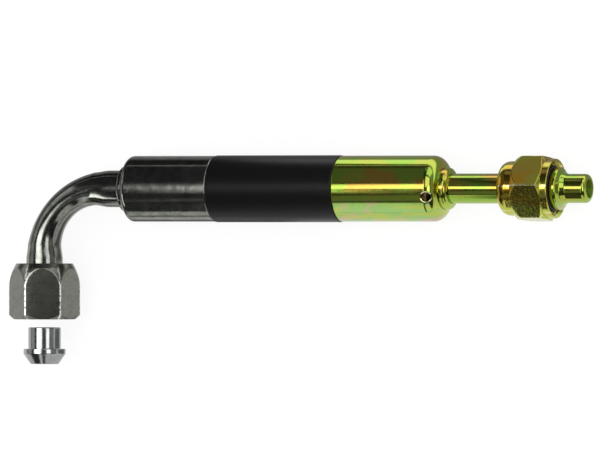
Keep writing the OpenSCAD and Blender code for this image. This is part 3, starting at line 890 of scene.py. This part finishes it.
class HOSE_OT_hose(bpy.types.Operator):
    """Cover, wire layers and inner tube of the hose"""

    bl_idname = "hose.hose"
    bl_label = "Hose"

    def execute(self, context):
        """Straight tubes along the hose, each as long as the CAD node that it stands for, with a rounded lip
        at each end.
        """
        s = context.scene.hose_hose
        layers = [
            ("hose_cover", s.cover_bore, s.radius, s.lip, "cover rubber", "rubber"),
            ("hose_liner", s.bore, s.liner_radius, 0.2 * MM, "liner rubber", "liner_rubber"),
        ]
        for number in range(4):
            inner = s.liner_radius + s.wire_gap + number * (s.wire_layer + s.wire_gap)
            outer = inner + s.wire_layer
            layers.append((f"wire_layer_{number + 1}", inner, outer, 0.1 * MM, "brassed wire", "wire"))
        for node, inner, outer, lip, material, slot in layers:
            low, high = span(node, 0)
            length = high - low
            corners = [(0, outer, lip), (length, outer, lip), (length, inner, 0.1 * MM), (0, inner, 0.1 * MM)]
            outline = filled(rounded(corners, 5), 1 * MM)
            piece = turned(f"{node}_body", outline, along_hose, low, count=96)
            dress(piece, None, material, slot, node)
            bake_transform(piece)
        return {"FINISHED"}


class HOSE_OT_finishes(bpy.types.Operator):
    """Finishes of the pieces that keep their solid"""

    bl_idname = "hose.finishes"
    bl_label = "Finishes"

    kept = {
        "left plating": ("left_stem", "left_ferrule"),
        "bright steel": ("end_collar", "left_thrust_ring"),
        "drilled chromate": ("right_ferrule",),
        "yellow chromate": ("right_stem", "right_tube", "right_thrust_ring"),
        "seal rubber": ("seal_ring",),
    }

    def execute(self, context):
        """Each CAD node that stays gets its material."""
        for material, nodes in self.kept.items():
            for node in nodes:
                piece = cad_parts[node]
                if not piece.material_slots:
                    raise RuntimeError(f"{node} has no material slot")
                for each in piece.material_slots:
                    each.material = finished(material)
        return {"FINISHED"}


# ---------------------------------------------------------------- floor, lights and camera


def level(x, y, height):
    """Corners of a level card."""
    return [(x[0], y[0], height), (x[1], y[0], height), (x[1], y[1], height), (x[0], y[1], height)]


def along(y, bottom, top, z):
    """Corners of a card upright along X at y, with its spans in X at the bottom and at the top."""
    return [(bottom[0], y, z[0]), (bottom[1], y, z[0]), (top[1], y, z[1]), (top[0], y, z[1])]


def across(x, y, z):
    """Corners of a card across X, with its X at the bottom and at the top."""
    return [(x[0], y[0], z[0]), (x[0], y[1], z[0]), (x[1], y[1], z[1]), (x[1], y[0], z[1])]


BEHIND_HOSE = HOSE_Y + 0.15

# Name, corners, strength, shares of the width and height that fade out, and change of strength along U
CARDS = (
    (
        "bend strip",
        [(-0.53, 0.05, 1), (-1.9, 0.5, 1), (-1.6, 1.4, 1), (-0.53, 0.5, 1)],
        1.0,
        (0.06, 0.25),
        (0.12, 0.9),
    ),
    (
        "ferrule strip",
        [(-0.48, -0.06, 1), (-0.43, -0.06, 1), (-0.43, 0.32, 1), (-0.48, 0.55, 1)],
        0.6,
        (0, 0.3),
    ),
    ("ferrule end strip", level((-0.441, -0.424), (0.0, 0.3), 0.99), 1.7, (0, 0.25), (0, 1)),
    ("hose strip", level((-0.42, -0.38), (-0.35, 0.34), 1.0), 3.4, (0, 0.35)),
    ("right strip", level((-0.372, 0.0), (-0.06, 0.36), 1.0), 3.0, (0, 0.25)),
    ("shoulder strip", level((-0.29, 0.05), (-0.9, 0.9), 1.1), 0.9, (0.25, 0.25)),
    ("shoulder card", level((0.12, 1.1), (0.07, 0.9), 0.9), 1.6, (0.1, 0.1)),
    ("leg strip", level((-0.15, -0.114), (-0.06, 0.023), 0.06), 4.4, (0.2, 0.12)),
    ("camera side", level((0.1, 0.5), (-0.4, 0.06), 1.2), 0.08, (0.15, 0.15)),
    ("side strip", across((0.95, 0.55), (-0.4, 0.3), (0.65, 1.15)), 2.9, (0.2, 0.2)),
    ("side shade", across((1.0, 1.0), (-0.4, 0.9), (0.08, 0.62)), 0.35, (0.1, 0.1)),
    ("left card", across((-0.9, -0.9), (-0.6, 0.9), (0.1, 0.65)), 1.0, (0.1, 0.1), (0.3, 0.9)),
    ("shoulder wall", along(1.0, (0.1, 1.6), (0.1, 1.6), (0.1, 0.9)), 1.3, (0.1, 0.1)),
    ("near right card", along(-0.5, (-0.05, 0.4), (-0.05, 0.4), (0.001, 0.44)), 0.9, (0.1, 0.1)),
    ("nut card", along(BEHIND_HOSE, (0.02, 0.085), (0.02, 0.085), (0.045, 0.11)), 0.3, (0.2, 0.2)),
    ("far card", along(BEHIND_HOSE, (-0.1, 0.03), (-0.16, -0.02), (0.03, 0.46)), 0.12, (0.1, 0.1)),
    ("near card", along(-0.5, (-0.21, -0.1), (-0.27, -0.17), (0.001, 0.47)), 1.0, (0.06, 0.06)),
    ("near shade", along(-0.26, (-0.27, -0.05), (-0.27, -0.05), (0.26, 0.9)), 0.2, (0.12, 0.12)),
)

# Name, place, target, width, depth and brightness of the face
LAMPS = (
    ("overhead lamp", (-0.04, 0, 1.0), (-0.04, 0, 0), 0.76, 0.34, 1.5),
    ("side lamp", (0.95, 0, 0.72), (0, 0, 0.01), 0.5, 0.5, 1.5),
)
FLOOR_HALF = 4.0
SENSOR = 36  # width in millimetres
CLIP_END = 20


def sheet(name, corners):
    """A flat piece of the stage, without a material.

    Its UV map runs from the first corner to the second along U, and to the fourth along V.
    """
    mesh = bpy.data.meshes.new(name)
    mesh.from_pydata(corners, [], [(0, 1, 2, 3)])
    mesh.uv_layers.new(name="UVMap").uv.foreach_set("vector", [0, 0, 1, 0, 1, 1, 0, 1])
    piece = bpy.data.objects.new(name, mesh)
    bpy.context.scene.collection.objects.link(piece)
    return piece


def blank(piece):
    """Gives a piece a new material without nodes, and returns its tree."""
    material = bpy.data.materials.new(piece.name)
    material.use_nodes = True
    material.node_tree.nodes.clear()
    piece.data.materials.append(material)
    return material.node_tree


def glow(tree, share, base, power):
    """Ends a material with a share of white glow over another shader."""
    light = new_node(tree, "ShaderNodeEmission", Color=(1, 1, 1, 1), Strength=power)
    both = new_node(tree, "ShaderNodeMixShader")
    for socket, given in zip(both.inputs, (share, base.outputs[0], light.outputs[0])):
        feed(tree, socket, given)
    new_node(tree, "ShaderNodeOutputMaterial", Surface=both.outputs[0])


def card(name, corners, strength, soft, fade=None):
    """A white card that only reflections see.

    Its edges fade to nothing over the soft shares of its width and its height. With fade, a pair, its strength
    is also multiplied by a number that changes along U from the first to the second.
    """
    piece = sheet(name, corners)
    tree = blank(piece)
    at = separated(tree, tree.nodes.new("ShaderNodeTexCoord").outputs["UV"])
    margin = 1.0
    for axis, share in zip("XY", soft):
        if share:
            inward = maths(tree, "MINIMUM", at[axis], maths(tree, "SUBTRACT", 1.0, at[axis]))
            margin = times(tree, smoothly(tree, inward, 0, share), margin)
    power = times(tree, margin, strength)
    if fade:
        change = maths(tree, "MULTIPLY_ADD", smoothly(tree, at["X"], 0, 1), fade[1] - fade[0], fade[0])
        power = times(tree, power, change)
    glow(tree, margin, tree.nodes.new("ShaderNodeBsdfTransparent"), power)
    for ray in ("camera", "diffuse", "shadow", "transmission"):
        setattr(piece, f"visible_{ray}", False)


def facing(side, up, back, place):
    """Placement with its X, Y and Z axes along the three given directions."""
    placement = Matrix((side, up, back)).transposed().to_4x4()
    placement.translation = place
    return placement


def lamp(name, place, target, wide, deep, radiance):
    """A rectangular lamp that reflections don't see, with its width along X as far as its aim allows."""
    light = bpy.data.lights.new(name, "AREA")
    light.shape = "RECTANGLE"
    light.size, light.size_y = wide, deep
    light.energy = radiance * math.pi * wide * deep
    piece = bpy.data.objects.new(name, light)
    back = (Vector(place) - Vector(target)).normalized()
    side = Vector((0, 1, 0)).cross(back).normalized()
    piece.matrix_world = facing(side, back.cross(side), back, Vector(place))
    piece.visible_glossy = False
    bpy.context.scene.collection.objects.link(piece)


class HOSE_OT_stage(bpy.types.Operator):
    """Floor, lights, background and camera"""

    bl_idname = "hose.stage"
    bl_label = "Stage"

    def execute(self, context):
        """A white floor, two lamps, cards for the reflections, and a long lens tilted from straight above."""
        scene = context.scene
        self.floor(scene.hose_studio)
        self.world(scene)
        for row in LAMPS:
            lamp(*row)
        for row in CARDS:
            card(*row)
        self.camera(scene, scene.hose_studio)
        scene.view_settings.view_transform = "Standard"
        return {"FINISHED"}

    def floor(self, s):
        """White to the camera, with a share that takes a shadow.

        A reflection sees it a little darker in front of the hose and much darker behind it, a painted shadow.
        Further back it is bright on the right and almost black on the left. Beside the leg it is dark, a
        painted shade, but not beside the nut.
        """
        tree = blank(sheet("floor", level((-FLOOR_HALF, FLOOR_HALF), (-FLOOR_HALF, FLOOR_HALF), 0)))
        path = tree.nodes.new("ShaderNodeLightPath").outputs
        at = separated(tree, object_vector(tree))
        near, behind, bright, dim, leg_share, camera_white = 0.9, 0.34, 1.2, -0.31, -0.75, 1.03
        # Painted shadow for reflections: the floor glows less behind the hose and beside the leg, where a real
        # floor would be in shade.
        is_behind = smoothly(tree, at["Y"], HOSE_Y - 5 * MM, HOSE_Y + 5 * MM)
        is_far = smoothly(tree, at["Y"], HOSE_Y + 44 * MM, HOSE_Y + 56 * MM)
        is_beyond = smoothly(tree, at["Y"], HOSE_Y + 30 * MM, HOSE_Y + 58 * MM)
        is_right = smoothly(tree, at["X"], -0.06, -0.03)
        is_left = maths(tree, "SUBTRACT", 1.0, is_right)
        gloss = maths(tree, "MULTIPLY_ADD", times(tree, is_far, is_right), bright, behind)
        gloss = added(tree, gloss, (dim, times(tree, is_beyond, is_left)))
        gloss = times(tree, is_behind, maths(tree, "SUBTRACT", gloss, near))
        gloss = maths(tree, "ADD", gloss, near)
        by_leg = band(tree, at["X"], (LEG_X + 10 * MM, LEG_X + 20 * MM), (0.0, -0.02))
        by_leg = times(tree, by_leg, band(tree, at["Y"], (-0.056, -0.046), (0.018, 0.006)))
        by_nut = band(tree, at["Y"], (-0.03, -0.026), (0.001, -0.003))
        by_leg = times(tree, by_leg, maths(tree, "SUBTRACT", 1.0, by_nut))
        gloss = times(tree, gloss, maths(tree, "MULTIPLY_ADD", by_leg, leg_share, 1.0))
        power = new_node(tree, "ShaderNodeMix", data_type="FLOAT")
        for number, given in ((0, path["Is Glossy Ray"]), (2, camera_white), (3, gloss)):
            feed(tree, power.inputs[number], given)
        seen = maths(tree, "MAXIMUM", path["Is Camera Ray"], path["Is Glossy Ray"])
        seen = maths(tree, "MAXIMUM", seen, path["Is Transmission Ray"])
        share = times(tree, seen, 1 - s.floor_shade)
        share = maths(tree, "MAXIMUM", share, path["Is Glossy Ray"])
        matt = new_node(tree, "ShaderNodeBsdfDiffuse", Color=(0.9, 0.9, 0.9, 1))
        glow(tree, share, matt, power.outputs[0])

    def world(self, scene):
        """White to the camera. A reflection sees a dark studio that turns white towards the horizon."""
        scene.world = bpy.data.worlds.new("studio")
        scene.world.use_nodes = True
        tree = scene.world.node_tree
        tree.nodes.clear()
        path = tree.nodes.new("ShaderNodeLightPath").outputs
        way = separated(tree, tree.nodes.new("ShaderNodeTexCoord").outputs["Generated"])
        studio = mixed(tree, smoothly(tree, way["Z"], 0.0, 0.06), (0.9, 0.9, 0.9), (0.035, 0.035, 0.04))
        soft = mixed(tree, path["Is Glossy Ray"], (1.1, 1.1, 1.1), studio)
        seen = mixed(tree, path["Is Camera Ray"], soft, (1, 1, 1))
        background = new_node(tree, "ShaderNodeBackground", Color=seen, Strength=1.0)
        new_node(tree, "ShaderNodeOutputWorld", Surface=background.outputs[0])

    def camera(self, scene, s):
        """As far away as makes the view its width at the hose, which leaves almost no perspective."""
        tilt = math.radians(s.tilt)
        data = bpy.data.cameras.new("camera")
        data.lens, data.sensor_width, data.clip_end = s.lens, SENSOR, CLIP_END
        back = Vector((math.sin(tilt), 0, math.cos(tilt)))
        side = Vector((math.cos(tilt), 0, -math.sin(tilt)))
        place = Vector((s.centre_x, s.centre_y, AXIS_Z)) + back * (s.width * s.lens / SENSOR)
        camera = bpy.data.objects.new("camera", data)
        camera.matrix_world = facing(side, Vector((0, 1, 0)), back, place)
        scene.collection.objects.link(camera)
        scene.camera = camera


# ---------------------------------------------------------------- panel and registration

GROUPS = {
    "hose_bent_tube": BentTubeSizes,
    "hose_left_nut": LeftNutSizes,
    "hose_right_nut": RightNutSizes,
    "hose_threads": ThreadSizes,
    "hose_nipple": NippleSizes,
    "hose_pilot": PilotSizes,
    "hose_hose": HoseSizes,
    "hose_finishes": Finishes,
    "hose_studio": StudioSettings,
}
OPERATORS = (
    HOSE_OT_bent_tube,
    HOSE_OT_left_nut,
    HOSE_OT_nipple,
    HOSE_OT_hose,
    HOSE_OT_pilot,
    HOSE_OT_right_nut,
    HOSE_OT_finishes,
    HOSE_OT_stage,
)


class HOSE_PT_panel(bpy.types.Panel):
    """Pieces of the hose assembly, with their sizes"""

    bl_idname = "HOSE_PT_panel"
    bl_label = "Hydraulic hose"
    bl_space_type = "VIEW_3D"
    bl_region_type = "UI"
    bl_category = "Hose"

    def draw(self, context):
        for operator in OPERATORS:
            self.layout.operator(operator.bl_idname)
        for name in GROUPS:
            box = self.layout.box()
            settings = getattr(context.scene, name)
            for key in settings.__annotations__:
                box.prop(settings, key)


CLASSES = (*GROUPS.values(), *OPERATORS, HOSE_PT_panel)


def register():
    for each in CLASSES:
        bpy.utils.register_class(each)
    for name, settings in GROUPS.items():
        setattr(bpy.types.Scene, name, bpy.props.PointerProperty(type=settings))


def unregister():
    for name in GROUPS:
        delattr(bpy.types.Scene, name)
    for each in reversed(CLASSES):
        bpy.utils.unregister_class(each)


def main():
    register()
    bpy.ops.hose.bent_tube()
    bpy.ops.hose.left_nut()
    bpy.ops.hose.nipple()
    bpy.ops.hose.hose()
    bpy.ops.hose.pilot()
    bpy.ops.hose.right_nut()
    bpy.ops.hose.finishes()
    bpy.ops.hose.stage()


if __name__ == "__main__":
    main()
